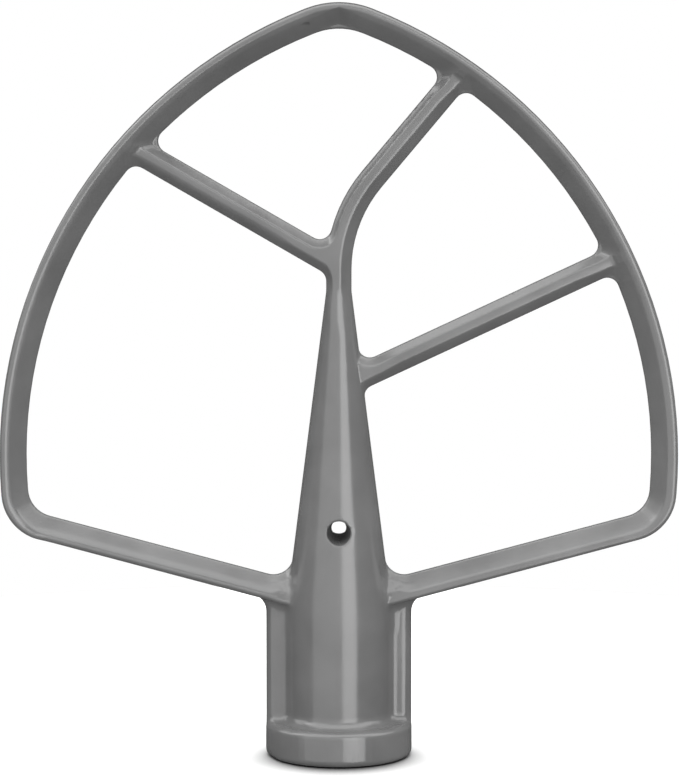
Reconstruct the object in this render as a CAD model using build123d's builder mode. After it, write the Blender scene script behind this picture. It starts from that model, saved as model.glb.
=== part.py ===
from build123d import *
from math import cos, radians, sin, tan
import os

os.makedirs("parts", exist_ok=True)

# Flat beater of a tilt-head stand mixer: one aluminium casting, bored and slotted
# for the drive shaft. It stands on the collar of its hub, as in the photograph.
# +Z runs from the mouth of the bore to the tip of the arch, +X is to the right of
# the viewer, the casting's mid plane is Y = 0 and the hub's axis is the Z axis.

# Arch: two flank arcs that meet in a rounded crown, on two bars that form a V
half_width = 71.0
flank_radius = 100.5
flank_height = 63.0
crown_radius = 19.0
corner_radius = 10.5
ring_width = 5.5
ring_depth = 9.2
ring_draft = 3.0
rim_radius = 0.8

bar_height = 34.4
bar_angle = 15.0
bar_width = 5.1
inner_corner_radius = 6.0

# Struts: bars of six-sided section that run from the hub to the arch
strut_width = 5.3
strut_depth = 5.2
left_strut_height = 103.1
left_strut_angle = 30.0
right_strut_height = 77.9
right_strut_angle = 25.0
branch_height = 113.2
branch_angle = 50.0
neck_radius = 29.3

# Section: every window wall leans back from a blunt nose on the mid plane
slope_angle = 40.0
nose_height = 1.0
land_bevel = 0.5
land_bevel_angle = 65.0
bevel_lap = 0.2
strut_root = 0.6
window_radius = 2.5
hub_window_radius = 4.2

# Hub: collar, barrel and a long cone that runs out into the neck
collar_radius = 15.4
collar_height = 7.2
collar_edge_radius = 1.2
collar_fillet_radius = 2.2
barrel_radius = 11.0
barrel_height = 32.0
barrel_blend_radius = 80.0
cone_angle = 7.2
core_cover = 0.15

# Web: the flat wings between collar and bars, in line with the collar's sides
web_thickness = 5.0
web_setback = 0.1
web_edge_radius = 2.0
web_corner_radius = 3.65
web_fillet_radius = 2.0

# Drive socket: a sliding fit on the shaft, with a slot that turns to hold its pin
shaft_diameter = 12.7
shaft_clearance = 0.2
bore_depth = 40.5
drill_point_angle = 118.0
slot_width = 5.2
slot_reach = 9.3
slot_turn_height = 10.5
slot_turn_angle = 80.0
slot_seat_depth = 2.0

# Hole across the hub above the bore, drafted to the mid plane from both sides
cross_hole_height = 48.2
cross_hole_mouth_radius = 2.8
cross_hole_neck_radius = 1.55

# Distance within which edges and corners are taken to lie where they are looked for
tolerance = 0.01

half_depth = ring_depth / 2
half_nose = nose_height / 2
slope = tan(radians(slope_angle))
bar_rise = tan(radians(bar_angle))
bar_run = cos(radians(bar_angle))
reach = 2 * half_width
sill_height = bar_height - bar_width / bar_run
bore_radius = (shaft_diameter + shaft_clearance) / 2
cone_tip_radius = strut_width / 2 * cos(radians(slope_angle)) - core_cover
cone_top = barrel_height + (barrel_radius - cone_tip_radius) / tan(radians(cone_angle))


def arch(inset, sill, crown, corner):
    """Pointed arch that stands on a V, inset from the beater's outer flanks."""
    centre = half_width - flank_radius
    edge_rise = reach * bar_rise
    with BuildSketch() as outline:
        with Locations((centre, flank_height)):
            Circle(flank_radius - inset)
        with Locations((-centre, flank_height)):
            Circle(flank_radius - inset, mode=Mode.INTERSECT)
        with BuildLine():
            Polyline(
                (0, sill),
                (reach, sill + edge_rise),
                (reach, 2 * reach),
                (-reach, 2 * reach),
                (-reach, sill + edge_rise),
                close=True,
            )
        make_face(mode=Mode.INTERSECT)
        fillet(outline.vertices().sort_by(Axis.Y)[-1], crown)
        feet = outline.vertices().filter_by_position(
            Axis.Y, sill + tolerance, flank_height - tolerance
        )
        fillet(feet, corner)
    return outline.sketch


def inner_arch(grow):
    """Inside edge of the arch and its bars, moved outwards by grow."""
    return arch(
        ring_width - grow,
        bar_height - grow / bar_run,
        crown_radius - ring_width + grow,
        inner_corner_radius + grow,
    )


def bend_at(face, corner):
    """Angle in degrees by which the face's edge turns at one of its corners."""
    away = []
    for edge in face.edges():
        for end, sign in ((0, 1), (1, -1)):
            if (edge.position_at(end) - Vector(*corner)).length < tolerance:
                away.append(edge.tangent_at(end) * sign)
    return 180 - away[0].get_angle(away[1])


def sharp_corners(sketch):
    """Corners of the openings, without the slight bend where the cone meets the neck."""
    return [
        corner
        for face in sketch.faces()
        for corner in face.vertices()
        if bend_at(face, corner) > 2 * cone_angle
    ]


def neck():
    """Band that rises from the hub and bends over into the right-hand branch."""
    half = strut_width / 2
    bend = neck_radius * tan(radians(90 - branch_angle) / 2)
    start, turn = branch_height - bend, branch_angle - 90
    with BuildSketch() as band:
        with BuildLine():
            left_wall = Line((-half, barrel_height), (-half, start))
            left_bend = JernArc(left_wall @ 1, left_wall % 1, neck_radius + half, turn)
            left_run = Line(left_bend @ 1, left_bend @ 1 + (left_bend % 1) * reach)
            right_wall = Line((half, barrel_height), (half, start))
            right_bend = JernArc(right_wall @ 1, right_wall % 1, neck_radius - half, turn)
            right_run = Line(right_bend @ 1, right_bend @ 1 + (right_bend % 1) * reach)
            Line(left_run @ 1, right_run @ 1)
            Line(left_wall @ 0, right_wall @ 0)
        make_face()
    return band.sketch


def windows():
    """The four openings on the mid plane: the inner arch less hub and struts."""
    core_radius = barrel_radius - core_cover
    core_tip = cone_tip_radius - core_cover
    inside = inner_arch(0)
    band = neck()
    with BuildSketch() as openings:
        add(inside)
        with BuildLine():
            Polyline(
                (-core_radius, 0),
                (-core_radius, barrel_height),
                (-core_tip, cone_top),
                (core_tip, cone_top),
                (core_radius, barrel_height),
                (core_radius, 0),
                close=True,
            )
        make_face(mode=Mode.SUBTRACT)
        add(band, mode=Mode.SUBTRACT)
        for height, angle in (
            (left_strut_height, 180 - left_strut_angle),
            (right_strut_height, right_strut_angle),
        ):
            with Locations((0, height)):
                Rectangle(
                    reach,
                    strut_width,
                    rotation=angle,
                    align=(Align.MIN, Align.CENTER),
                    mode=Mode.SUBTRACT,
                )
        at_hub = [
            corner for corner in sharp_corners(openings) if corner.Y < bar_height + hub_window_radius
        ]
        fillet(at_hub, hub_window_radius)
        fillet(sharp_corners(openings), window_radius)
    return openings.sketch


# Arch, bars and struts, cut from one drafted plate
def leaning(profile, start, angle):
    """Prism from the given depth towards the front, with walls that widen by angle."""
    with BuildPart() as block:
        with BuildSketch(Plane.XZ.offset(start)):
            add(profile)
        extrude(amount=half_depth)
        walls = block.faces().filter_by(Axis.Y, reverse=True)
        draft(walls, Plane.XZ.offset(start), -angle)
    return block.part


plate = leaning(arch(0, sill_height, crown_radius, corner_radius), 0, -ring_draft)
openings = windows()
strut_rise = strut_depth / 2 - half_nose
strut_pocket = leaning(inner_arch(strut_rise * slope - strut_root), strut_depth / 2, slope_angle)
bevel_start = half_depth - land_bevel - bevel_lap
bevel_rise = half_depth - land_bevel - half_nose
bevel_grow = bevel_rise * slope - bevel_lap * tan(radians(land_bevel_angle))
land_pocket = leaning(inner_arch(bevel_grow), bevel_start, land_bevel_angle)
window_walls = [leaning(opening, half_nose, slope_angle) for opening in openings.faces()]

with BuildPart() as frame:
    add(plate)
    rim = frame.faces().sort_by(Axis.Y)[0].edges()
    fillet(rim, rim_radius)
    for tool in [strut_pocket, land_pocket, *window_walls]:
        add(tool, mode=Mode.SUBTRACT)
    with BuildSketch(Plane.XZ):
        add(openings)
    extrude(amount=half_nose, mode=Mode.SUBTRACT)
    mirror(about=Plane.XZ)


# Flat wings between the collar and the bars, with rounded outer edges
foot = collar_height / 2
wing = collar_radius - web_setback
bar_core = sill_height + 0.6 * bar_width
tail = wing + 2 * web_corner_radius
shoulder = sill_height + wing * bar_rise + web_thickness / 2 * tan(radians(ring_draft))

with BuildPart() as web:
    with BuildSketch(Plane.XZ) as wings:
        with BuildLine():
            outer_edge = Polyline(
                (0, foot),
                (wing, foot),
                (wing, shoulder),
                (tail, shoulder + (tail - wing) * bar_rise),
                (tail, bar_core + tail * bar_rise),
                (0, bar_core),
            )
            mirror(outer_edge, about=Plane.YZ)
        make_face()
        corners = wings.vertices().filter_by_position(Axis.Y, shoulder - tolerance, shoulder + tolerance)
        fillet(corners, web_corner_radius)
    extrude(amount=web_thickness / 2, both=True)
    sides = web.edges().filter_by(
        lambda edge: abs(edge.center().Y) > web_thickness / 2 - tolerance
        and edge.center().Z < shoulder + web_corner_radius * bar_rise
        and abs(edge.center().X) > wing - tolerance
    )
    fillet(sides, web_edge_radius)


# Hub, turned about the bore from a section that stands clear of web, slot and cross hole
turning_plane = Plane(origin=(0, 0, 0), x_dir=(1, 1, 0), z_dir=(1, -1, 0))

with BuildPart() as hub:
    with BuildSketch(turning_plane) as half_section:
        with BuildLine():
            Polyline(
                (0, 0),
                (collar_radius, 0),
                (collar_radius, collar_height),
                (barrel_radius, collar_height),
                (barrel_radius, barrel_height),
                (cone_tip_radius, cone_top),
                (0, cone_top),
                close=True,
            )
        make_face()
        rim = half_section.vertices().filter_by_position(
            Axis.X, collar_radius - tolerance, collar_radius + tolerance
        )
        fillet(rim, collar_edge_radius)
        inner_corner = half_section.vertices().filter_by_position(
            Axis.Y, collar_height - tolerance, collar_height + tolerance
        ).sort_by(Axis.X)[0]
        fillet(inner_corner, collar_fillet_radius)
        barrel_end = half_section.vertices().filter_by_position(
            Axis.Y, barrel_height - tolerance, barrel_height + tolerance
        )
        fillet(barrel_end, barrel_blend_radius)
    revolve(axis=Axis.Z)


with BuildPart() as flat_beater:
    add(frame)
    add(web)
    add(hub)
    web_roots = flat_beater.edges().filter_by(Axis.Z).filter_by(
        lambda edge: abs(abs(edge.center().Y) - web_thickness / 2) < tolerance
        and abs(edge.center().X) < barrel_radius
    )
    fillet(web_roots, web_fillet_radius)

    # Socket for the shaft, with the drill point that the bore ends in
    drill_point = bore_radius / tan(radians(drill_point_angle / 2))
    with BuildSketch(turning_plane):
        Polygon(
            (0, 0),
            (bore_radius, 0),
            (bore_radius, bore_depth),
            (0, bore_depth + drill_point),
            align=None,
        )
    revolve(axis=Axis.Z, mode=Mode.SUBTRACT)

    # Slot for the shaft's pin: straight in, a part turn, and a seat that holds it
    half_slot = slot_width / 2
    with BuildSketch():
        Rectangle(slot_reach, slot_width, align=(Align.MIN, Align.CENTER))
    extrude(amount=slot_turn_height + slot_width, mode=Mode.SUBTRACT)
    with BuildSketch(Plane.XZ):
        with Locations((0, slot_turn_height)):
            Rectangle(slot_reach, slot_width, align=Align.MIN)
    revolve(axis=Axis.Z, revolution_arc=slot_turn_angle, mode=Mode.SUBTRACT)
    with BuildSketch(Plane.XY.offset(slot_turn_height - slot_seat_depth)):
        Rectangle(slot_reach, slot_width, rotation=slot_turn_angle, align=(Align.MIN, Align.CENTER))
    extrude(amount=slot_seat_depth + slot_width, mode=Mode.SUBTRACT)

    for side in (1, -1):
        with BuildSketch(Plane.XZ):
            with Locations((0, cross_hole_height)):
                Circle(cross_hole_neck_radius)
        with BuildSketch(Plane.XZ.offset(side * barrel_radius)):
            with Locations((0, cross_hole_height)):
                Circle(cross_hole_mouth_radius)
        loft(mode=Mode.SUBTRACT)

flat_beater.part.label = "flat_beater"
export_step(flat_beater.part, "parts/flat_beater.step")
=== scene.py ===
import bmesh
import bpy
import math
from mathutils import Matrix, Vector


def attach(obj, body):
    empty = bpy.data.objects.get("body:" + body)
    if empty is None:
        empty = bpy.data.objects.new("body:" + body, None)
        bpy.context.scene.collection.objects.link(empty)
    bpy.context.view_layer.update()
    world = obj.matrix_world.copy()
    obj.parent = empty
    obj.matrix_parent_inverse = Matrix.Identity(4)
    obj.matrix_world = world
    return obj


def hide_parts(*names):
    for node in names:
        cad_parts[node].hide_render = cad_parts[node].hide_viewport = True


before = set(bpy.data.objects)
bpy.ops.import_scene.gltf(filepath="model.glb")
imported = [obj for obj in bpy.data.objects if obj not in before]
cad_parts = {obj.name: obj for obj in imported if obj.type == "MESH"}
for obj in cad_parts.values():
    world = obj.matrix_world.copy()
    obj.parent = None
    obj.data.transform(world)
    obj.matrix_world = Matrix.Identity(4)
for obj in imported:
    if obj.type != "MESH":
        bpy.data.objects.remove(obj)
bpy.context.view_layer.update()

# The flat beater stands on its collar. Everything is in metres, in the CAD's frame:
# +Z up the hub's axis, +X to the right of the photograph, -Y towards the viewer.
mm = 0.001


# The photograph's camera: level left to right, looking slightly down.
view = {
    "distance": 700 * mm,
    "height": 150 * mm,
    "aimHeight": 77.48 * mm,
    "across": 0.136 * mm,
    "focalPixels": 3361.7,
    "photoHeight": 778,
    "sensor": 36.0,
}


def makeCamera():
    data = bpy.data.cameras.new("photo_camera")
    camera = bpy.data.objects.new("photo_camera", data)
    bpy.context.scene.collection.objects.link(camera)
    data.sensor_width = view["sensor"]
    data.lens = view["focalPixels"] * view["sensor"] / view["photoHeight"]
    camera.location = (view["across"], -view["distance"], view["height"])
    drop = view["height"] - view["aimHeight"]
    camera.rotation_euler = (math.pi / 2 - math.atan2(drop, view["distance"]), 0, 0)
    bpy.context.scene.camera = camera


# A shader node with its settings and its unlinked inputs filled in.
def addNode(tree, kind, inputs=(), **settings):
    node = tree.nodes.new(kind)
    for name, value in settings.items():
        setattr(node, name, value)
    for name, value in dict(inputs).items():
        node.inputs[name].default_value = value
    return node


# Baked grey coating on a casting: satin, with faint clouding, slow waves and a fine grain.
coating = {
    "colour": (0.087, 0.087, 0.087),
    "tint": 0.08,  # how far the clouds lighten and darken it
    "roughness": 0.2,
    "roughnessSpread": 0.03,
    "specular": 0.5,
    "cloudSize": 9 * mm,
    "cloudDetail": 3.0,
    "cloudRoughness": 0.45,
    "cloudLow": 0.3,  # range of the cloud noise that counts
    "cloudHigh": 0.7,
    "waviness": 0.05 * mm,
    "grainSize": 0.55 * mm,
    "grainDetail": 2.0,
    "grainRoughness": 0.5,
    "grainHeight": 0.003 * mm,
}


# Noise on the coating with spots of one size.
def addNoise(tree, size, detail, roughness):
    noise = addNode(
        tree,
        "ShaderNodeTexNoise",
        {"Scale": 1 / size, "Detail": detail, "Roughness": roughness},
    )
    where = addNode(tree, "ShaderNodeTexCoord")
    tree.links.new(where.outputs["Object"], noise.inputs["Vector"])
    return noise.outputs["Fac"]


# A value that the clouds carry up and down around its middle.
def cloudValue(tree, clouds, middle, spread):
    value = addNode(
        tree,
        "ShaderNodeMapRange",
        {
            "From Min": coating["cloudLow"],
            "From Max": coating["cloudHigh"],
            "To Min": middle - spread,
            "To Max": middle + spread,
        },
    )
    tree.links.new(clouds, value.inputs["Value"])
    return value.outputs["Result"]


def makeCoating():
    material = bpy.data.materials.new("grey_coating")
    material.use_nodes = True
    tree = material.node_tree
    shader = tree.nodes["Principled BSDF"]
    shader.inputs["Specular IOR Level"].default_value = coating["specular"]
    clouds = addNoise(tree, coating["cloudSize"], coating["cloudDetail"], coating["cloudRoughness"])
    grain = addNoise(tree, coating["grainSize"], coating["grainDetail"], coating["grainRoughness"])

    colour = addNode(tree, "ShaderNodeVectorMath", operation="SCALE")
    colour.inputs[0].default_value = coating["colour"]
    tree.links.new(cloudValue(tree, clouds, 1, coating["tint"]), colour.inputs["Scale"])
    tree.links.new(colour.outputs["Vector"], shader.inputs["Base Color"])
    gloss = cloudValue(tree, clouds, coating["roughness"], coating["roughnessSpread"])
    tree.links.new(gloss, shader.inputs["Roughness"])

    waves = addNode(tree, "ShaderNodeBump", {"Distance": coating["waviness"], "Strength": 1.0})
    bump = addNode(tree, "ShaderNodeBump", {"Distance": coating["grainHeight"], "Strength": 1.0})
    tree.links.new(clouds, waves.inputs["Height"])
    tree.links.new(grain, bump.inputs["Height"])
    tree.links.new(waves.outputs["Normal"], bump.inputs["Normal"])
    tree.links.new(bump.outputs["Normal"], shader.inputs["Normal"])
    print("coating ready")
    return material


# 0 below the first limit, 1 above the second, and smooth between them.
def ramp(value, low, high):
    part = min(1, max(0, (value - low) / (high - low)))
    return part * part * (3 - 2 * part)


# 1 between two limits, fading to 0 just inside each.
def band(value, low, high, fade):
    return ramp(value, low, low + fade) * (1 - ramp(value, high - fade, high))


# The hub's turned surface: barrel, long blend and cone.
hub = {
    "barrel": 11.0 * mm,
    "barrelTop": 32.0 * mm,
    "coneAngle": math.radians(7.2),
    "blendRadius": 80.0 * mm,
    "from": 9.8 * mm,
    "to": 92.0 * mm,
    "fade": 4.0 * mm,
    "within": 0.5 * mm,
    "sideFrom": 0.4,  # share of the radius where the wings' and bars' roots end
    "sideTo": 0.55,
    "holeHeight": 48.2 * mm,
    "holeEdge": 2.9 * mm,
    "holeFade": 0.4 * mm,
}


# Radius of the hub's turned surface at a height.
def hubRadius(height):
    tangent = hub["blendRadius"] * math.tan(hub["coneAngle"] / 2)
    start = hub["barrelTop"] - tangent
    end = hub["barrelTop"] + tangent * math.cos(hub["coneAngle"])
    if height < start:
        return hub["barrel"]
    if height < end:
        drop = hub["blendRadius"] - math.sqrt(hub["blendRadius"] ** 2 - (height - start) ** 2)
        return hub["barrel"] - drop
    return hub["barrel"] - (height - hub["barrelTop"]) * math.tan(hub["coneAngle"])


# Puts the turned part of the hub on its true surface, clear of roots and cross hole.
def trueHub(mesh):
    for vertex in mesh.vertices:
        x, y, z = vertex.co
        if not hub["from"] < z < hub["to"]:
            continue
        out, radius = math.hypot(x, y), hubRadius(z)
        miss = abs(out - radius)
        if miss > hub["within"]:
            continue
        weight = ramp(abs(y) / radius, hub["sideFrom"], hub["sideTo"])
        weight *= 1 - ramp(miss, hub["within"] / 2, hub["within"])
        weight *= 1 - ramp(z, hub["to"] - hub["fade"], hub["to"])
        fromHole = math.hypot(x, z - hub["holeHeight"])
        weight *= ramp(fromHole, hub["holeEdge"], hub["holeEdge"] + hub["holeFade"])
        scale = 1 + weight * (radius / out - 1)
        vertex.co.x, vertex.co.y = x * scale, y * scale


# The struts' middle lines: height where each meets the hub's axis, and its rise.
struts = {
    "leftHeight": 103.1 * mm,
    "leftAngle": math.radians(30),
    "rightHeight": 77.9 * mm,
    "rightAngle": math.radians(25),
    "half": 2.65 * mm,
    "depth": 2.6 * mm,
}

# The neck's middle line: straight up the axis, then an arc to the right and the branch.
neck = {
    "bendHeight": 102.5 * mm,
    "radius": 29.3 * mm,
    "turn": math.radians(40),
}


# How far a point lies above a strut's middle line, square to it.
def aboveStrut(point, side):
    height, angle = struts[side + "Height"], struts[side + "Angle"]
    return (point.z - height) * math.cos(angle) - abs(point.x) * math.sin(angle)


# Place of a point on the neck and branch: distance along them, offset from their
# middle line towards the upper left, and the direction of that offset.
def alongNeck(point):
    radius, start, turn = neck["radius"], neck["bendHeight"], neck["turn"]
    if point.z < start:
        return point.z - start, -point.x, Vector((-1, 0, 0))
    out = Vector((point.x - radius, 0, point.z - start))
    angle = math.atan2(out.z, -out.x)
    if angle < turn:
        return angle * radius, out.length - radius, out.normalized()
    side = Vector((-math.cos(turn), 0, math.sin(turn)))
    ahead = Vector((math.sin(turn), 0, math.cos(turn)))
    return turn * radius + out.dot(ahead), out.dot(side) - radius, side


# Where the struts run straight onto the ring's slope, with rounded valleys beside them.
mitres = {
    "ringRadius": 100.5 * mm,  # outline of a flank of the ring
    "ringCentre": 29.5 * mm,
    "ringHeight": 63 * mm,
    "ringWidth": 5.5 * mm,
    "ringDepth": 4.6 * mm,
    "lean": math.tan(math.radians(40)),
    "nose": 0.5 * mm,
    "corner": 0.8 * mm,
    "valley": 2.6 * mm,
    "margin": 0.03 * mm,
    "above": 70 * mm,
    "reach": 14 * mm,
    "fade": 4 * mm,
}


# Depth of a sloped wall at a distance in from its foot.
def slopeDepth(inside, depth):
    return min(depth, mitres["nose"] + inside / mitres["lean"])


# The larger of two depths, with a rounded valley where they are nearly equal.
def valleyDepth(first, second):
    near = max(0, 1 - abs(first - second) / mitres["valley"])
    return max(first, second) + mitres["valley"] * near * near / 4


# Cuts the flared ends of the struts back to where their slopes and the ring's meet.
def mitreStruts(mesh):
    for vertex in mesh.vertices:
        point = vertex.co
        if point.z < mitres["above"]:
            continue
        out = math.hypot(abs(point.x) + mitres["ringCentre"], point.z - mitres["ringHeight"])
        inward = mitres["ringRadius"] - out
        if inward > mitres["reach"] or abs(point.y) < mitres["corner"]:
            continue
        if point.x < 0:
            offset = abs(aboveStrut(point, "left"))
        else:
            offset = min(abs(aboveStrut(point, "right")), abs(alongNeck(point)[1]))
        meeting = valleyDepth(
            slopeDepth(mitres["ringWidth"] - inward, mitres["ringDepth"]),
            slopeDepth(struts["half"] - offset, struts["depth"]),
        )
        meeting = max(mitres["corner"], meeting)
        excess = max(0, abs(point.y) - meeting - mitres["margin"])
        excess *= 1 - ramp(inward, mitres["reach"] - mitres["fade"], mitres["reach"])
        point.y -= math.copysign(excess, point.y)


# The crowns of the neck, its branch and the right strut sit a little above the middle.
crowns = {
    "neckFoot": 88 * mm,
    "branchEnd": 46 * mm,
    "neckLean": 0.48 * mm,
    "strutFrom": 8 * mm,
    "strutTo": 54 * mm,
    "strutLean": 0.3 * mm,
    "fade": 5 * mm,
}


# Moves those crowns towards their upper sides.
def leanCrowns(mesh):
    half, fade, turn = struts["half"], crowns["fade"], struts["rightAngle"]
    foot = crowns["neckFoot"] - neck["bendHeight"]
    upper = Vector((-math.sin(turn), 0, math.cos(turn)))
    for vertex in mesh.vertices:
        point = vertex.co
        if point.z < struts["rightHeight"]:
            continue
        depth = min(1, abs(point.y) / struts["depth"])
        along, offset, side = alongNeck(point)
        if foot < along < crowns["branchEnd"] and abs(offset) < half:
            lean = crowns["neckLean"] * (1 - (offset / half) ** 2)
            vertex.co = point + side * lean * depth * band(along, foot, crowns["branchEnd"], fade)
            continue
        offset = aboveStrut(point, "right")
        if crowns["strutFrom"] < point.x < crowns["strutTo"] and abs(offset) < half:
            fading = band(point.x, crowns["strutFrom"], crowns["strutTo"], fade)
            lean = crowns["strutLean"] * (1 - (offset / half) ** 2)
            vertex.co = point + upper * lean * depth * fading


# Where the casting is worn: the lower edges of the left strut and of the left bar.
wear = {
    "strutFrom": 9 * mm,
    "strutTo": 43 * mm,
    "strutHalf": 2.5 * mm,
    "strutRidge": 0.45 * mm,
    "ridgeFade": 0.3 * mm,
    "strutShare": 0.5,
    "sill": 29.1 * mm,  # the bars' lower edge on the hub's axis
    "rise": math.tan(math.radians(15)),
    "barFrom": 12 * mm,
    "barTo": 64 * mm,
    "barWidth": 4.0 * mm,
    "landDepth": 2.2 * mm,
    "fade": 4.0 * mm,
    "edgeFade": 1.0 * mm,
}


# How strongly a point lies on the worn lower side of the left strut.
def strutWornAt(point):
    offset = aboveStrut(point, "left")
    if point.x > 0 or abs(offset) > wear["strutHalf"]:
        return 0
    lower = 1 - ramp(offset, wear["strutRidge"] - wear["ridgeFade"], wear["strutRidge"])
    along = band(-point.x, wear["strutFrom"], wear["strutTo"], wear["fade"])
    return along * lower * wear["strutShare"]


# How strongly a point lies on the worn lower edge of the left bar.
def barWornAt(point):
    across, depth = abs(point.x), abs(point.y)
    height = point.z - wear["sill"] - across * wear["rise"]
    if -point.x < wear["barFrom"] or height > wear["barWidth"]:
        return 0
    along = band(across, wear["barFrom"], wear["barTo"], wear["fade"])
    near = 1 - ramp(height, wear["barWidth"] - wear["edgeFade"], wear["barWidth"])
    return along * near * ramp(depth, wear["landDepth"], wear["landDepth"] + wear["edgeFade"])


def wornAt(point):
    return strutWornAt(point) if point.z > struts["leftHeight"] else barWornAt(point)


# How far inside corners are filled: a little everywhere, most in the roots of the bars.
filling = {
    "everywhere": 0.05,
    "rootFrom": 8.5 * mm,
    "rootTo": 18.0 * mm,
    "rootFoot": 25.0 * mm,
    "rootHead": 46.0 * mm,
    "rootDepth": 2.4 * mm,
    "fade": 4.0 * mm,
    "edgeFade": 1.0 * mm,
}


def fillAt(point):
    across, depth = abs(point.x), abs(point.y)
    weight = ramp(across, filling["rootFrom"] - filling["edgeFade"], filling["rootFrom"])
    weight *= 1 - ramp(across, filling["rootTo"] - filling["fade"], filling["rootTo"])
    weight *= band(point.z, filling["rootFoot"], filling["rootHead"], filling["fade"])
    weight *= ramp(depth, filling["rootDepth"] - filling["edgeFade"], filling["rootDepth"])
    return max(weight, filling["everywhere"])


# The CAD casting with its edges and corners rounded as cast and coated metal is.
casting = {
    "node": "flat_beater",
    "name": "beater_casting",
    "slot": "coated_casting",
    "weld": 0.001 * mm,
    "voxel": 0.28 * mm,
    "rounding": 0.5,
    "roundingPasses": 3,
    "wornPasses": 110,
    "fillPasses": 160,
    "triangles": 190000,
}


# Turns what a piece's modifiers show into its own plain mesh.
def settle(piece):
    bpy.context.view_layer.update()
    shown = piece.evaluated_get(bpy.context.evaluated_depsgraph_get())
    mesh = bpy.data.meshes.new_from_object(shown)
    piece.modifiers.clear()
    piece.data = mesh
    return mesh


# Smooths a piece as strongly at each point as a function of the point says.
def weighSmoothing(piece, name, weightAt, passes):
    group = piece.vertex_groups.new(name=name)
    for vertex in piece.data.vertices:
        weight = weightAt(vertex.co)
        if weight > 0:
            group.add((vertex.index,), weight, "REPLACE")
    smooth = piece.modifiers.new(name, "SMOOTH")
    smooth.factor = casting["rounding"]
    smooth.iterations = passes
    smooth.vertex_group = name
    return settle(piece)


# Fills inside corners: smoothing may move a point outwards or sideways, not inwards.
def fillCorners(piece):
    before = [(vertex.co.copy(), vertex.normal.copy()) for vertex in piece.data.vertices]
    mesh = weighSmoothing(piece, "corners", fillAt, casting["fillPasses"])
    for vertex, (place, normal) in zip(mesh.vertices, before):
        vertex.co = vertex.co - normal * min(0, normal.dot(vertex.co - place))
    return mesh


# A merged copy of the CAD node's loose triangles.
def copyCasting():
    mesh = bpy.data.meshes.new(casting["name"])
    cleaned = bmesh.new()
    cleaned.from_mesh(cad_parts[casting["node"]].data)
    bmesh.ops.remove_doubles(cleaned, verts=cleaned.verts, dist=casting["weld"])
    cleaned.to_mesh(mesh)
    cleaned.free()
    piece = bpy.data.objects.new(casting["name"], mesh)
    bpy.context.scene.collection.objects.link(piece)
    return piece


def makeCasting(material):
    piece = copyCasting()
    remesh = piece.modifiers.new("voxels", "REMESH")
    remesh.mode = "VOXEL"
    remesh.voxel_size = casting["voxel"]
    remesh.use_smooth_shade = True
    smooth = piece.modifiers.new("rounding", "SMOOTH")
    smooth.factor = casting["rounding"]
    smooth.iterations = casting["roundingPasses"]
    even = settle(piece)
    print("casting remeshed to", len(even.polygons), "faces")

    trueHub(even)
    mitreStruts(even)
    leanCrowns(even)
    weighSmoothing(piece, "worn", wornAt, casting["wornPasses"])
    dense = fillCorners(piece)
    print("casting shaped")

    dense.calc_loop_triangles()
    lighter = piece.modifiers.new("lighter", "DECIMATE")
    lighter.ratio = min(1, casting["triangles"] / len(dense.loop_triangles))
    rounded = settle(piece)
    piece.vertex_groups.clear()
    rounded.materials.clear()
    rounded.materials.append(material)
    for face in rounded.polygons:
        face.use_smooth = True
    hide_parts(casting["node"])
    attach(piece, "root")
    print("casting finished with", len(rounded.polygons), "faces")


# The studio: a white floor that takes the object's cast shadow and a painted contact shadow, and the
# even light around it.
studio = {
    "floorRadius": 0.22,
    "floorSides": 96,
    "floorGap": 0.05 * mm,
    "floorShown": 0.56,  # how light the camera sees it where nothing shades it
    "floorBounce": 0.3,  # how light it is for the beater's underside
    "shadowReach": 15 * mm,
    "shadowLean": math.radians(55),
    "shadowFrom": 0.2,
    "shadowTo": 0.95,
    "shadowSamples": 24,
    "ambient": 0.38,
    "reflected": 0.05,  # how light the room looks in the coating
}


# Painted contact shadow: occlusion leaned towards the back darkens the floor's colour, darkest in
# front of the collar. The lamps' own shadows also fall on the floor.
def makeFloor():
    bpy.ops.mesh.primitive_circle_add(
        vertices=studio["floorSides"],
        radius=studio["floorRadius"],
        fill_type="NGON",
        location=(0, 0, -studio["floorGap"]),
    )
    floor = bpy.context.object
    floor.name = "studio_floor"
    material = bpy.data.materials.new("studio_floor")
    material.use_nodes = True
    tree = material.node_tree
    tree.nodes.remove(tree.nodes["Principled BSDF"])

    # Painted shadow: the occlusion mask scales the floor colour that the camera sees.
    lean = studio["shadowLean"]
    shadowTilt = addNode(tree, "ShaderNodeCombineXYZ", {"Y": math.sin(lean), "Z": math.cos(lean)})
    shadowMask = addNode(
        tree,
        "ShaderNodeAmbientOcclusion",
        {"Distance": studio["shadowReach"]},
        samples=studio["shadowSamples"],
    )
    paintedShadow = addNode(
        tree,
        "ShaderNodeMapRange",
        {
            "From Min": studio["shadowFrom"],
            "From Max": studio["shadowTo"],
            "To Min": 0.0,
            "To Max": studio["floorShown"],
        },
        interpolation_type="SMOOTHSTEP",
    )
    shown = addNode(tree, "ShaderNodeBsdfDiffuse")
    tree.links.new(shadowTilt.outputs["Vector"], shadowMask.inputs["Normal"])
    tree.links.new(shadowMask.outputs["AO"], paintedShadow.inputs["Value"])
    tree.links.new(paintedShadow.outputs["Result"], shown.inputs["Color"])

    ray = addNode(tree, "ShaderNodeLightPath")
    bounce = addNode(tree, "ShaderNodeBsdfDiffuse", {"Color": (studio["floorBounce"],) * 3 + (1,)})
    mix = addNode(tree, "ShaderNodeMixShader")
    tree.links.new(ray.outputs["Is Camera Ray"], mix.inputs["Fac"])
    tree.links.new(bounce.outputs["BSDF"], mix.inputs[1])
    tree.links.new(shown.outputs["BSDF"], mix.inputs[2])
    tree.links.new(mix.outputs["Shader"], tree.nodes["Material Output"].inputs["Surface"])
    floor.data.materials.append(material)
    floor.visible_glossy = False
    floor.visible_shadow = False


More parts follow.
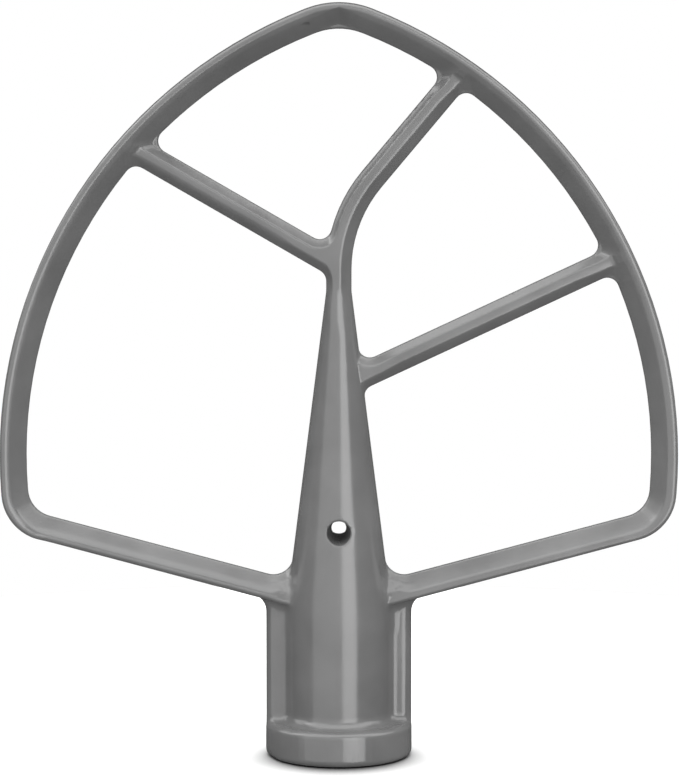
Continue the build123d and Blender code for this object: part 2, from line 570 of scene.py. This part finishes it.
# White light of one strength from all around.
def addGlow(tree, strength):
    glow = addNode(tree, "ShaderNodeBackground", {"Color": (1, 1, 1, 1), "Strength": strength})
    return glow.outputs["Background"]


# White behind the object for the camera, dim for reflections, an even low light for the rest.
def makeWorld():
    world = bpy.data.worlds.new("studio")
    bpy.context.scene.world = world
    world.use_nodes = True
    tree = world.node_tree
    tree.nodes.remove(tree.nodes["Background"])
    ray = addNode(tree, "ShaderNodeLightPath")
    forGloss = addNode(tree, "ShaderNodeMixShader")
    forCamera = addNode(tree, "ShaderNodeMixShader")
    tree.links.new(ray.outputs["Is Glossy Ray"], forGloss.inputs["Fac"])
    tree.links.new(addGlow(tree, studio["ambient"]), forGloss.inputs[1])
    tree.links.new(addGlow(tree, studio["reflected"]), forGloss.inputs[2])
    tree.links.new(ray.outputs["Is Camera Ray"], forCamera.inputs["Fac"])
    tree.links.new(forGloss.outputs["Shader"], forCamera.inputs[1])
    tree.links.new(addGlow(tree, 1.0), forCamera.inputs[2])
    tree.links.new(forCamera.outputs["Shader"], tree.nodes["World Output"].inputs["Surface"])


# Rectangular lights aimed at the beater. Azimuth runs from the viewer towards +X, both
# angles are in degrees, brightness is given as radiance, and shift moves a light along X.
softboxes = {
    "right_strip": {
        "azimuth": 23.5,
        "elevation": 2,
        "distance": 1.2,
        "width": 0.7,
        "height": 1.05,
        "radiance": 5.3,
    },
    "front_box": {
        "azimuth": -27,
        "elevation": 10,
        "distance": 1.25,
        "width": 1.65,
        "height": 1.5,
        "radiance": 1.55,
    },
    "left_box": {
        "azimuth": -95,
        "elevation": 30,
        "distance": 1.3,
        "width": 0.9,
        "height": 0.8,
        "radiance": 2.6,
    },
    "top_box": {
        "azimuth": 0,
        "elevation": 80,
        "distance": 1.3,
        "width": 5.0,
        "height": 1.9,
        "radiance": 3.3,
        "shift": 0.6,
    },
    "back_box": {
        "azimuth": 150,
        "elevation": 20,
        "distance": 1.3,
        "width": 1.7,
        "height": 1.4,
        "radiance": 3.2,
        "reflects": False,
    },
    "back_strip": {
        "azimuth": 215,
        "elevation": 10,
        "distance": 1.2,
        "width": 0.5,
        "height": 1.4,
        "radiance": 5.0,
        "reflects": False,
    },
}


def makeSoftbox(name, box):
    data = bpy.data.lights.new(name, "AREA")
    data.shape = "RECTANGLE"
    data.size, data.size_y = box["width"], box["height"]
    data.energy = box["radiance"] * math.pi * box["width"] * box["height"]
    lamp = bpy.data.objects.new(name, data)
    bpy.context.scene.collection.objects.link(lamp)
    turn, lift = math.radians(box["azimuth"]), math.radians(box["elevation"])
    out = Vector((math.sin(turn) * math.cos(lift), -math.cos(turn) * math.cos(lift), math.sin(lift)))
    centre = Vector((box.get("shift", 0), 0, view["aimHeight"]))
    lamp.location = centre + out * box["distance"]
    lamp.rotation_euler = out.to_track_quat("Z", "Y").to_euler()
    lamp.visible_glossy = box.get("reflects", True)


bpy.context.scene.view_settings.view_transform = "Standard"
makeCamera()
makeWorld()
makeFloor()
for name, box in softboxes.items():
    makeSoftbox(name, box)
print("studio ready with", len(softboxes), "softboxes")
makeCasting(makeCoating())
